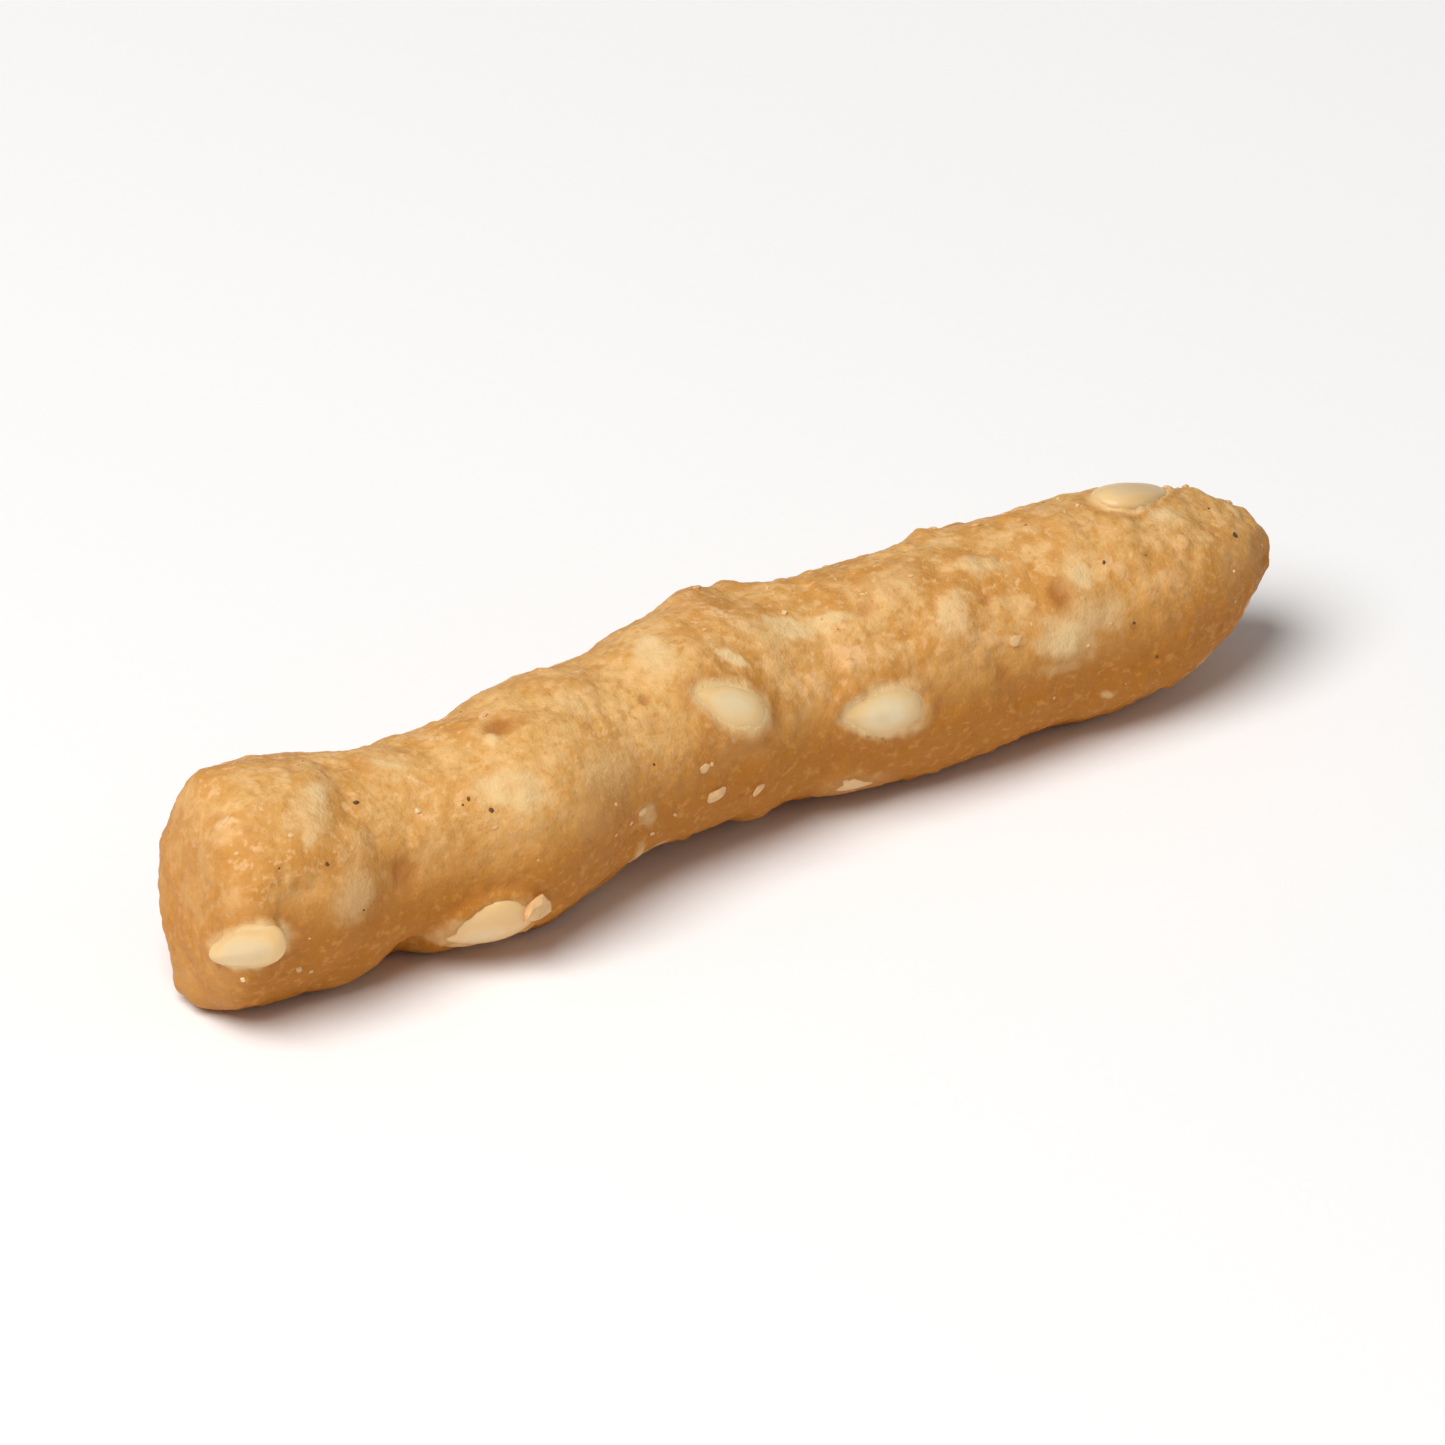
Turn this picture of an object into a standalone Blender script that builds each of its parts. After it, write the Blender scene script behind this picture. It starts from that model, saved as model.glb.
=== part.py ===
"""A sesame stick: one fried rope of dough with hulled sesame seeds in its crust.

It lies along X on a small flat spot, with its blunt end at -X and its tapered end at +X.
Z is up, and the origin is under the middle of the stick, on the surface that it lies on.
"""

import math
import random

import bmesh
import bpy
from mathutils import Matrix, Vector, noise

MM = 0.001

# Driving sizes of the dough rope
LENGTH = 38.5 * MM
MEAN_DIAMETER = 6.7 * MM
BLUNT_END = 2.1 * MM
TAPERED_END = 5.9 * MM
BLUNT_ROUNDING = (2.8, 0.33)
TAPERED_ROUNDING = (1.7, 0.6)
SLANT_OF_BLUNT_END = 0.7 * MM
SLANT_REACH = 4.5 * MM
SLANT_SIDE = math.radians(216)
SETTLED = 0.16 * MM
BOX_MIDDLE = Vector((-0.26 * MM, -0.03 * MM, 0.0))

# Distance from the blunt end, thickness, shift to the far side and lift, all in mm
STATIONS = (
    (0.0, 6.90, -0.05, 0.36),
    (3.2, 7.30, 0.00, 0.12),
    (6.5, 6.45, -0.15, 0.10),
    (9.8, 6.80, -0.75, 0.00),
    (11.6, 7.00, -0.55, 0.10),
    (14.6, 6.30, 0.08, 0.32),
    (18.2, 6.70, 0.50, 0.44),
    (21.2, 6.30, 0.74, 0.28),
    (26.1, 6.72, 0.50, 0.05),
    (31.0, 6.75, 0.72, 0.00),
    (34.2, 6.48, 0.34, 0.14),
    (38.5, 6.00, 0.05, 0.50),
)

# How finely the dough is divided
SIDES = 46
RINGS = 104
SEED_SIDES = 8
SEED_RINGS = 5
DENSE_SHARE = 0.10

# Relief of the crust: wavelength and height of each size of unevenness
LUMPS = (5.2 * MM, 0.28 * MM)
KNOBS = (2.0 * MM, 0.13 * MM)
RELIEF_ORIGIN = Vector((31.7, 12.9, 57.3))

# Crags and hollows that show, as distance along, angle round, height, reach along and reach round
CRAGS = (
    (19.5, 54, 0.52, 1.3, 1.2),
    (20.9, 50, 0.56, 1.1, 1.0),
    (27.6, 56, 0.28, 0.9, 0.8),
    (36.4, 66, 0.16, 0.9, 0.8),
    (6.7, 232, -0.42, 0.9, 1.6),
    (14.6, 233, -0.14, 1.4, 1.4),
    (0.9, 214, 0.16, 0.9, 1.9),
    (1.0, 66, 0.22, 1.2, 1.5),
    (0.6, 262, 0.34, 1.0, 1.6),
    (0.9, 0, -0.36, 1.1, 2.0),
    (0.5, 318, -0.72, 1.1, 1.7),
    (31.5, 214, 0.16, 1.5, 1.0),
    (36.9, 225, -0.16, 1.2, 1.2),
)
SCATTERED_CRAGS = 46
CRAG_HEIGHTS = (-0.10, 0.17)
CRAG_REACHES = (0.7, 1.2)
CRAG_STRETCH = (0.03, 0.97)
CRAG_FALL = 2.2
CRAG_EDGE = 1.6

# A hulled sesame seed, and how it narrows towards its pointed end
SEED_LENGTH = 2.95 * MM
SEED_WIDTH = 1.72 * MM
SEED_THICKNESS = 0.86 * MM
SEED_TAPER = 0.30
SEED_THINNING = 0.18
SKIN_OVER_SEED = 0.07 * MM

# Seeds on the side that shows: distance along, angle round, turn from the stick's line, size
BARE_SEEDS_SHOWN = (
    (0.8, 181, 205, 0.84),
    (8.4, 206, 193, 1.12),
    (17.9, 142, 142, 0.90),
    (23.1, 169, 174, 0.98),
    (34.2, 80, 18, 0.98),
    (22.6, 220, -12, 0.92),
)
COVERED_SEEDS_SHOWN = (
    (9.6, 130, 162, 0.94),
    (16.5, 97, 70, 0.84),
    (12.7, 142, 20, 0.95),
    (4.1, 162, 70, 0.98),
    (3.4, 119, 55, 0.90),
    (6.9, 98, -28, 0.80),
    (26.2, 127, 46, 0.72),
    (29.6, 161, -20, 0.96),
    (30.9, 153, 165, 0.84),
    (20.2, 108, 170, 0.90),
    (30.5, 131, 60, 0.80),
    (36.0, 148, 10, 0.80),
    (25.3, 98, 30, 0.88),
)
BARE_HEIGHT = -0.15 * MM
COVERED_HEIGHT = -0.45 * MM
BED_DEPTH = 0.05 * MM
BED_REACH = (1.1, 1.7)
BED_LIMIT = 0.3 * MM
SHOWN_SIDE = (24, 238)
UNDERSIDE = (238, 312)
BARE_SEEDS = 12
COVERED_SEEDS = 27
SEED_SPACING = 2.5 * MM
SEEDED_STRETCH = (0.09, 0.94)
SEED_SIZES = (0.86, 1.06)
TRIES = 4000
DRAW = 7


def station(distance):
    """Thickness, sideways shift and lift of the rope at a distance from its blunt end."""
    place = min(max(distance / MM, 0.0), STATIONS[-1][0])
    last = len(STATIONS) - 2
    k = next(i for i in range(last + 1) if place <= STATIONS[i + 1][0] or i == last)
    before, start = STATIONS[max(k - 1, 0)], STATIONS[k]
    end, after = STATIONS[k + 1], STATIONS[min(k + 2, last + 1)]
    span = end[0] - start[0]
    t = (place - start[0]) / span
    values = []
    for c in (1, 2, 3):
        slope_in = (end[c] - before[c]) / (end[0] - before[0]) * span
        slope_out = (after[c] - start[c]) / (after[0] - start[0]) * span
        blend = t * t * (3 - 2 * t)
        value = start[c] + (end[c] - start[c]) * blend
        value += slope_in * t * (1 - t) ** 2 - slope_out * t * t * (1 - t)
        values.append(value * MM)
    return values


def fullness(distance):
    """Share of the rope's full thickness, which falls to nothing at both ends."""
    share = 1.0
    for from_end, reach, (power, root) in (
        (distance, BLUNT_END, BLUNT_ROUNDING),
        (LENGTH - distance, TAPERED_END, TAPERED_ROUNDING),
    ):
        u = min(max(from_end / reach, 0.0), 1.0)
        share *= max(1 - (1 - u) ** power, 0.0) ** root
    return share


def smooth_point(distance, angle):
    """A point of the rope before its relief. Angle 0 is the far side, and a quarter turn is up."""
    thickness, shift, lift = station(distance)
    radius = fullness(distance) * thickness / 2
    slant = math.exp(-((distance / SLANT_REACH) ** 2)) * SLANT_OF_BLUNT_END
    lean = slant * math.cos(angle - SLANT_SIDE) * fullness(distance)
    height = (thickness + MEAN_DIAMETER) / 4 - SETTLED + lift
    return Vector(
        (
            distance - LENGTH / 2 - lean,
            shift + radius * math.cos(angle),
            height + radius * math.sin(angle),
        )
    )


def smooth_frame(distance, angle):
    """Point, outward normal and the direction along the stick, on the rope before its relief."""
    step = 0.02 * MM
    distance = min(max(distance, 2 * step), LENGTH - 2 * step)
    point = smooth_point(distance, angle)
    along = smooth_point(distance + step, angle) - smooth_point(distance - step, angle)
    around = smooth_point(distance, angle + 0.01) - smooth_point(distance, angle - 0.01)
    normal = around.cross(along).normalized()
    if normal.dot(point - smooth_point(distance, angle + math.pi)) < 0:
        normal.negate()
    return point, normal, along.normalized()


def distance_along(part, whole=LENGTH):
    """Rings are dense where the ends curve in, and evenly spaced between."""
    slope = 1 / (1 - DENSE_SHARE)
    if part < DENSE_SHARE:
        return whole * slope * part * part / (2 * DENSE_SHARE)
    if part > 1 - DENSE_SHARE:
        return whole - distance_along(1 - part, whole)
    return whole * slope * (part - DENSE_SHARE / 2)


def all_crags():
    """The crags that show, and small ones scattered over the rest, as point, height and reach."""
    draw = random.Random(DRAW)
    crags = []
    for along, angle, height, reach_along, reach_round in CRAGS:
        point, normal, line = smooth_frame(along * MM, math.radians(angle))
        crags.append((point, line, height * MM, reach_along * MM, reach_round * MM))
    for _ in range(SCATTERED_CRAGS):
        along = draw.uniform(*CRAG_STRETCH) * LENGTH
        point, normal, line = smooth_frame(along, draw.uniform(0, 2 * math.pi))
        height = draw.uniform(*CRAG_HEIGHTS) * MM
        reach = draw.uniform(*CRAG_REACHES) * MM
        crags.append((point, line, height, reach, reach))
    return crags


def between(angle, limits):
    return limits[0] < angle < limits[1]


def all_seeds():
    """Frames of the bare seeds and of the seeds under the crust, placed ones first."""
    draw = random.Random(DRAW + 1)
    seeds = {True: [], False: []}
    taken = []

    def place(bare, along, angle, turn, size):
        point, normal, line = smooth_frame(along, math.radians(angle))
        taken.append(point)
        side = normal.cross(line).normalized()
        axes = Matrix((line, side, normal)).transposed().to_4x4()
        height = BARE_HEIGHT if bare else COVERED_HEIGHT
        move = Matrix.Translation(point + normal * height)
        spin = Matrix.Rotation(math.radians(turn), 4, "Z")
        seeds[bare].append(move @ axes @ spin @ Matrix.Scale(size, 4))

    for bare, shown in ((True, BARE_SEEDS_SHOWN), (False, COVERED_SEEDS_SHOWN)):
        for along, angle, turn, size in shown:
            place(bare, along * MM, angle, turn, size)
    for bare, count in ((True, BARE_SEEDS), (False, COVERED_SEEDS)):
        for _ in range(TRIES):
            if len(seeds[bare]) >= count:
                break
            along = draw.uniform(*SEEDED_STRETCH) * LENGTH
            angle = draw.uniform(0, 360)
            turn, size = draw.uniform(0, 360), draw.uniform(*SEED_SIZES)
            point = smooth_point(along, math.radians(angle))
            near = min((point - other).length for other in taken) < SEED_SPACING
            low = bare and between(angle, UNDERSIDE)
            if not near and not low and not between(angle, SHOWN_SIDE):
                place(bare, along, angle, turn, size)
    return seeds[True], seeds[False]


def crag_height(point, crags):
    """Height that the crags add at a point: round knobs that fade out at their reach."""
    height = 0.0
    for centre, line, rise, reach_along, reach_round in crags:
        away = point - centre
        along = away.dot(line)
        across = (away - line * along).length
        far = math.hypot(along / reach_along, across / reach_round)
        if far < CRAG_EDGE:
            height += rise * math.exp(-CRAG_FALL * far * far)
    return height


def seed_cover(point, seeds):
    """Height that the crust needs at a point to cover the seeds just under it."""
    height = 0.0
    for inverse, size in seeds:
        local = inverse @ point
        u, v = local.x / (SEED_LENGTH / 2), local.y / (SEED_WIDTH / 2)
        v /= 1 - SEED_TAPER * max(min(u, 1), -1)
        inside = 1 - (u * u + v * v)
        if inside > 0 and abs(local.z) < 2 * SEED_THICKNESS:
            top = math.sqrt(inside) * SEED_THICKNESS / 2 + SKIN_OVER_SEED
            height = max(height, (top - local.z) * size)
    return height


def seed_bed(point, seeds):
    """Height that the crust needs at a point to reach the edge of the bare seeds."""
    height = 0.0
    for inverse, size in seeds:
        local = inverse @ point
        reach = math.hypot(local.x / (SEED_LENGTH / 2), local.y / (SEED_WIDTH / 2))
        if reach < BED_REACH[1] and abs(local.z) < SEED_THICKNESS:
            share = (BED_REACH[1] - reach) / (BED_REACH[1] - BED_REACH[0])
            rise = min((-BED_DEPTH - local.z) * size, BED_LIMIT)
            height = max(height, rise * min(share, 1))
    return height


def relief(point, crags, bare, covered):
    """How far the crust stands out from the smooth rope at a point."""
    height = 0.0
    for wavelength, rise in (LUMPS, KNOBS):
        height += rise * noise.noise(point / wavelength + RELIEF_ORIGIN)
    height += crag_height(point, crags)
    return max(height, seed_cover(point, covered), seed_bed(point, bare))


def reverse_frames(frames):
    return [(frame.inverted(), frame.median_scale) for frame in frames]


def dough_mesh(crags, bare, covered):
    """A ball whose rings of latitude are drawn out along the stick, then given its relief."""
    ball = bmesh.new()
    bmesh.ops.create_uvsphere(ball, u_segments=SIDES, v_segments=RINGS, radius=1.0)
    for vertex in ball.verts:
        part = math.acos(max(min(-vertex.co.z, 1.0), -1.0)) / math.pi
        angle = math.atan2(vertex.co.x, vertex.co.y)
        vertex.co = smooth_point(distance_along(part), angle)
    bmesh.ops.recalc_face_normals(ball, faces=ball.faces)
    ball.normal_update()
    on, under = reverse_frames(bare), reverse_frames(covered)
    moves = [v.normal * relief(v.co, crags, on, under) for v in ball.verts]
    for vertex, move in zip(ball.verts, moves):
        vertex.co += move
        vertex.co.z = max(vertex.co.z, 0.0)
    mesh = bpy.data.meshes.new("sesame_stick")
    ball.to_mesh(mesh)
    ball.free()
    return mesh


def seed_mesh():
    """One hulled seed: a flattened drop, blunt at one end and pointed at the other."""
    drop = bmesh.new()
    bmesh.ops.create_uvsphere(drop, u_segments=SEED_SIDES, v_segments=SEED_RINGS, radius=1.0)
    for vertex in drop.verts:
        w, v, u = vertex.co
        vertex.co.x = u * SEED_LENGTH / 2
        vertex.co.y = v * SEED_WIDTH / 2 * (1 - SEED_TAPER * u)
        vertex.co.z = w * SEED_THICKNESS / 2 * (1 - SEED_THINNING * u)
    mesh = bpy.data.meshes.new("sesame_seed")
    drop.to_mesh(mesh)
    drop.free()
    return mesh


def fried_dough_material():
    """Golden fried dough with a satin, slightly oily skin."""
    material = bpy.data.materials.new("fried_dough")
    material.use_nodes = True
    shader = material.node_tree.nodes["Principled BSDF"]
    shader.inputs["Base Color"].default_value = (0.56, 0.27, 0.075, 1.0)
    shader.inputs["Roughness"].default_value = 0.48
    shader.inputs["Metallic"].default_value = 0.0
    return material


def add_object(name, mesh, collection):
    made = bpy.data.objects.new(name, mesh)
    collection.objects.link(made)
    return made


def fuse_seeds(stick, bare):
    """Joins the bare seeds to the dough, so that the stick is one solid."""
    seeds = bpy.data.collections.new("seeds")
    bpy.context.scene.collection.children.link(seeds)
    drop = seed_mesh()
    for k, frame in enumerate(bare):
        seed = add_object(f"seed_{k}", drop, seeds)
        seed.matrix_world = frame
    union = stick.modifiers.new("fused seeds", "BOOLEAN")
    union.operation = "UNION"
    union.operand_type = "COLLECTION"
    union.collection = seeds
    union.solver = "EXACT"
    bpy.context.view_layer.objects.active = stick
    stick.select_set(True)
    bpy.ops.object.modifier_apply(modifier=union.name)
    for seed in list(seeds.objects):
        bpy.data.objects.remove(seed)
    bpy.data.collections.remove(seeds)


def main():
    for old in list(bpy.data.objects):
        bpy.data.objects.remove(old)
    crags = all_crags()
    bare, covered = all_seeds()
    dough = dough_mesh(crags, bare, covered)
    stick = add_object("sesame_stick", dough, bpy.context.scene.collection)
    stick.data.materials.append(fried_dough_material())
    fuse_seeds(stick, bare)
    stick.data.transform(Matrix.Translation(-BOX_MIDDLE))
    stick.data.shade_smooth()


main()
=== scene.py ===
"""Looks of one sesame stick: a rope of fried dough with hulled sesame seeds, on a white sweep."""

import math
import random

import bpy
import numpy as np
from bpy.props import FloatProperty, FloatVectorProperty, IntProperty, PointerProperty
from mathutils import Matrix, Vector, noise
from mathutils.bvhtree import BVHTree


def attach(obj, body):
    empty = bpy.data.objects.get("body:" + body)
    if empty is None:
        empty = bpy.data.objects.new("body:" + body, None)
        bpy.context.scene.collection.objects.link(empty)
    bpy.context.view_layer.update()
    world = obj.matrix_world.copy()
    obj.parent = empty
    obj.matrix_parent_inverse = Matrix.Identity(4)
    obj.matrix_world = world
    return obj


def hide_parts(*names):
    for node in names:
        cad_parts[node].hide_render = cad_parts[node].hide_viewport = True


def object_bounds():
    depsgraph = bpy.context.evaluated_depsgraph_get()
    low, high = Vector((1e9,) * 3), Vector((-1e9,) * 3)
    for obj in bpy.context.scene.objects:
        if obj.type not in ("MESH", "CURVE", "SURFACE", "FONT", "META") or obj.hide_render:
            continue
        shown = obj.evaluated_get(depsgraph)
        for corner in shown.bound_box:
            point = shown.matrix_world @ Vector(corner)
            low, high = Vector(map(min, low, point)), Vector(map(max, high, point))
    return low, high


bl_info = {
    "name": "Sesame stick",
    "version": (1, 0, 0),
    "blender": (4, 5, 0),
    "location": "3D View > Sidebar > Sesame stick",
    "description": "Models a fried sesame stick with its seeds, crumbs and salt, and lights it",
    "category": "Object",
}

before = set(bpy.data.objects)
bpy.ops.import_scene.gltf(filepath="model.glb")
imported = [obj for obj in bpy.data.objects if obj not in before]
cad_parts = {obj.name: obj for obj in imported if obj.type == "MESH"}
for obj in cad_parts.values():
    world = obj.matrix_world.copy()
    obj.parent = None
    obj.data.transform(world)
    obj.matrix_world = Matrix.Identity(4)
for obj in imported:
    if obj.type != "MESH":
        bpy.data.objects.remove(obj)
CAD_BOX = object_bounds()

MM = 0.001
BODY = "root"
NODE = "sesame_stick"

# The dough rope: sizes that it shares with the solid
ROPE_LENGTH = 38.5 * MM
MEAN_DIAMETER = 6.7 * MM
BLUNT_END = 2.1 * MM
TAPERED_END = 5.9 * MM
BLUNT_ROUNDING = (2.8, 0.33)
TAPERED_ROUNDING = (1.7, 0.6)
SLANT_OF_BLUNT_END = 0.7 * MM
SLANT_REACH = 4.5 * MM
SLANT_SIDE = math.radians(216)
SETTLED = 0.16 * MM
BOX_MIDDLE = np.array((-0.26 * MM, -0.03 * MM, 0.0))

# Distance from the blunt end, thickness, shift to the far side and lift, all in mm
STATIONS = np.array(
    (
        (0.0, 6.90, -0.05, 0.36),
        (3.2, 7.30, 0.00, 0.12),
        (6.5, 6.45, -0.15, 0.10),
        (9.8, 6.80, -0.75, 0.00),
        (11.6, 7.00, -0.55, 0.10),
        (14.6, 6.30, 0.08, 0.32),
        (18.2, 6.70, 0.50, 0.44),
        (21.2, 6.30, 0.74, 0.28),
        (26.1, 6.72, 0.50, 0.05),
        (31.0, 6.75, 0.72, 0.00),
        (34.2, 6.48, 0.34, 0.14),
        (38.5, 6.00, 0.05, 0.50),
    )
)
RELIEF_ORIGIN = np.array((31.7, 12.9, 57.3))

# Crags and hollows that show, as distance along, angle round, height, reach along and reach round
CRAGS = (
    (19.5, 54, 0.52, 1.3, 1.2),
    (20.9, 50, 0.56, 1.1, 1.0),
    (27.6, 56, 0.28, 0.9, 0.8),
    (36.4, 66, 0.16, 0.9, 0.8),
    (6.7, 232, -0.42, 0.9, 1.6),
    (14.6, 233, -0.14, 1.4, 1.4),
    (0.9, 214, 0.16, 0.9, 1.9),
    (1.0, 66, 0.22, 1.2, 1.5),
    (0.6, 262, 0.34, 1.0, 1.6),
    (0.9, 0, -0.36, 1.1, 2.0),
    (0.5, 318, -0.72, 1.1, 1.7),
    (31.5, 214, 0.16, 1.5, 1.0),
    (36.9, 225, -0.16, 1.2, 1.2),
)
SCATTERED_CRAGS = 46
CRAG_HEIGHTS = (-0.10, 0.17)
CRAG_REACHES = (0.7, 1.2)
CRAG_STRETCH = (0.03, 0.97)
CRAG_FALL = 2.2
CRAG_EDGE = 1.6

# How a seed narrows and thins towards its pointed end, how far under and over the rope's own
# surface skin is looked for, and how wide it is rounded into the crust round bare and covered
# seeds, in mm. Under a seed that stands out further than the collar, crust stays where it is.
SEED_TAPER = 0.30
SEED_THINNING = 0.18
DRAPE_LIFTS = (-0.9, 1.3)
DRAPE_STEPS = 56
FILLETS = (0.34, 0.62)
LEAST_FILLET = 0.02
COLLAR = 0.26

# How far a seed reaches to its side, as a share of its width, how far round its middle it
# shapes the crust, and the share of its outline that counts as well away from it
SEED_SIDE = 0.45
SEED_REACH = 2.8 * MM
OFF_SEED = 2.5

# Skin at an opening: its thickness there as a share of the full one, how far from the edge it
# is full again as a share of the seed's outline, how high its lip stands at the edge and
# further out, and how deep crust lies sunk under the bare seed, in mm
SKIN_AT_EDGE = 0.1
SKIN_GROWTH = 0.45
LIP = (0.01, 0.80)
SUNK = 0.12

# Seeds on the side that shows: distance along, angle round, turn from the stick's line, size
# and how much shows, which is the share of a bare seed that the skin leaves open, and how
# clearly a covered one is seen through the skin
BARE_SEEDS_SHOWN = (
    (0.8, 181, 205, 0.84, 0.88),
    (8.4, 206, 193, 1.12, 0.52),
    (17.9, 142, 142, 0.90, 0.77),
    (23.1, 169, 174, 0.98, 0.80),
    (34.2, 80, 18, 0.98, 0.97),
    (22.6, 220, -12, 0.92, 0.30),
)
COVERED_SEEDS_SHOWN = (
    (9.6, 130, 162, 0.94, 0.88),
    (16.5, 97, 70, 0.84, 0.80),
    (12.7, 142, 20, 0.95, 0.26),
    (4.1, 162, 70, 0.98, 0.30),
    (3.4, 119, 55, 0.90, 0.55),
    (6.9, 98, -28, 0.80, 0.30),
    (26.2, 127, 46, 0.72, 0.70),
    (29.6, 161, -20, 0.96, 1.00),
    (30.9, 153, 165, 0.84, 0.60),
    (20.2, 108, 170, 0.90, 0.30),
    (30.5, 131, 60, 0.80, 0.35),
    (36.0, 148, 10, 0.80, 0.12),
    (25.3, 98, 30, 0.88, 0.22),
)
BARE_SHARES = (0.52, 0.90)
CLEARNESS = (0.2, 0.85)
BARE_HEIGHT = -0.15 * MM
COVERED_HEIGHT = -0.45 * MM
SHOWN_SIDE = (24, 238)
UNDERSIDE = (238, 312)
BARE_SEEDS = 12
COVERED_SEEDS = 27
SEED_SPACING = 2.5 * MM
SEEDED_STRETCH = (0.09, 0.94)
SEED_SIZES = (0.86, 1.06)
TRIES = 4000
DRAW = 7

# Where crumbs, salt and flecks lie: at angles clear of the surface under the stick, on which
# stretch of it, and how wide their clusters are
CLEAR_OF_FLOOR = (-20, 200)
GRAIN_STRETCH = (0.02, 0.98)
GRAIN_CLUSTERS = 4 * MM

# How finely the dough and a bare seed are divided
SIDES = 224
RINGS = 420
PROFILE_STEPS = 4000
SEED_SIDES = 40
SEED_RINGS = 30

# A bare seed's own relief, as shares of its half width and half thickness
SEED_DENTS = 0.014
SEED_FURROWS = 0.012
SEED_KEEL = 0.10

# Fine relief of the crust, which the solid is too coarse for: wavelength and height in mm.
# A blister's rise and a pit's sink are shares of its reach.
FINE_RELIEF = ((1.0, 0.055), (0.48, 0.052), (0.24, 0.042))
BUBBLE_STRETCH = (0.01, 0.99)
BLISTERS = 420
BLISTER_REACHES = (0.12, 0.36)
BLISTER_RISE = (0.10, 0.32)
PITS = 70
PIT_REACHES = (0.08, 0.20)
PIT_SINK = (0.14, 0.28)
PIT_RIM = 0.25
FULLY_BROWNED = 0.12 * MM

# How edges wander and colours break up: wavelengths in mm, each with its share
TORN_EDGE = ((1.0, 0.10), (0.36, 0.06))
TORN_FILM = ((0.5, 0.12),)
COVERED_EDGE = ((0.9, 0.16), (0.32, 0.16))
COVERED_MOTTLE = ((0.45, 0.45),)
FILM_EDGE = ((0.6, 0.10), (0.25, 0.08))
FILM_HOLES = ((0.8, 0.8), (0.3, 0.5))
PATCH_EDGE = ((0.5, 0.42), (0.22, 0.36))
PIT_EDGE = ((0.3, 0.3),)
WRINKLE_BEND = ((1.1, 0.35),)
WRINKLE_EDGE = ((0.7, 0.25),)
TOASTED_SPOTS = ((3.4, 0.5), (1.2, 0.3))

# Heights between which ridges come to be toasted, and how far in from the blunt and from the
# tapered end the crust is toasted, darkened round the tip by painted shade, and given less of
# that painted shade on the blunt face
RIDGE_HEIGHTS = (0.02 * MM, 0.30 * MM)
TOASTED_ENDS = (3.0 * MM, 6.0 * MM)
SHADED_TIP = 3.6 * MM
LESS_SHADED_FACE = 1.5 * MM

# Browned pits that show: distance along, angle round, reach and depth in mm
PITS_SHOWN = (
    (10.5, 94, 0.46, 0.13),
    (29.8, 139, 0.46, 0.14),
    (15.3, 120, 0.20, 0.06),
    (27.5, 127, 0.24, 0.05),
    (23.7, 112, 0.26, 0.05),
    (5.9, 161, 0.50, 0.06),
    (27.3, 168, 0.30, 0.05),
    (32.0, 166, 0.18, 0.04),
)

# Wrinkled skin: distance along, angle round, turn, spacing, reach and height in mm
WRINKLES = (
    (19.6, 108, -40, 0.46, 1.5, 0.050),
    (21.0, 147, -72, 0.30, 0.8, 0.050),
    (25.0, 100, 20, 0.50, 1.5, 0.030),
    (29.2, 112, 70, 0.42, 1.5, 0.030),
    (6.8, 100, -30, 0.36, 1.0, 0.045),
    (13.4, 102, 35, 0.50, 1.6, 0.028),
    (34.6, 128, 80, 0.45, 1.5, 0.030),
    (17.0, 330, 60, 0.45, 1.8, 0.050),
    (28.0, 20, -40, 0.45, 1.8, 0.050),
    (9.0, 30, 30, 0.45, 1.6, 0.050),
)

# Patches of the crust's colour: distance along, angle round, turn, length, width and strength.
# Cream ones are dry film and seed skin, peach ones thin dry dough, and brown ones oily hollows.
CREAM_PATCHES = (
    (3.8, 113, 54, 1.10, 0.72, 0.85),
    (2.9, 134, 39, 0.70, 0.47, 0.65),
    (3.0, 100, -59, 0.48, 0.24, 0.60),
    (2.5, 126, 3, 0.52, 0.40, 0.45),
    (10.0, 100, 52, 0.66, 0.39, 0.80),
    (16.5, 97, 16, 1.30, 1.00, 0.30),
    (21.2, 110, -19, 2.30, 1.00, 0.90),
    (22.6, 112, -14, 1.30, 0.50, 0.80),
    (13.0, 102, -24, 1.71, 1.30, 0.28),
    (34.5, 106, -5, 1.10, 0.85, 0.85),
    (30.7, 132, 55, 1.00, 0.85, 0.80),
    (30.8, 154, -16, 1.10, 0.80, 0.55),
    (29.5, 160, 0, 1.30, 1.05, 0.95),
    (30.1, 170, -30, 1.00, 0.40, 0.30),
    (4.0, 165, 46, 1.70, 1.35, 0.42),
    (29.3, 174, -10, 1.50, 0.43, 0.30),
    (28.0, 106, -19, 1.94, 0.83, 0.60),
    (24.3, 103, -9, 0.96, 0.85, 0.32),
    (18.6, 119, -48, 1.16, 0.40, 1.10),
    (6.7, 99, -32, 1.08, 0.46, 0.80),
    (7.2, 113, -38, 0.62, 0.14, 0.75),
    (27.7, 78, -25, 1.24, 1.00, 0.28),
)
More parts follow.
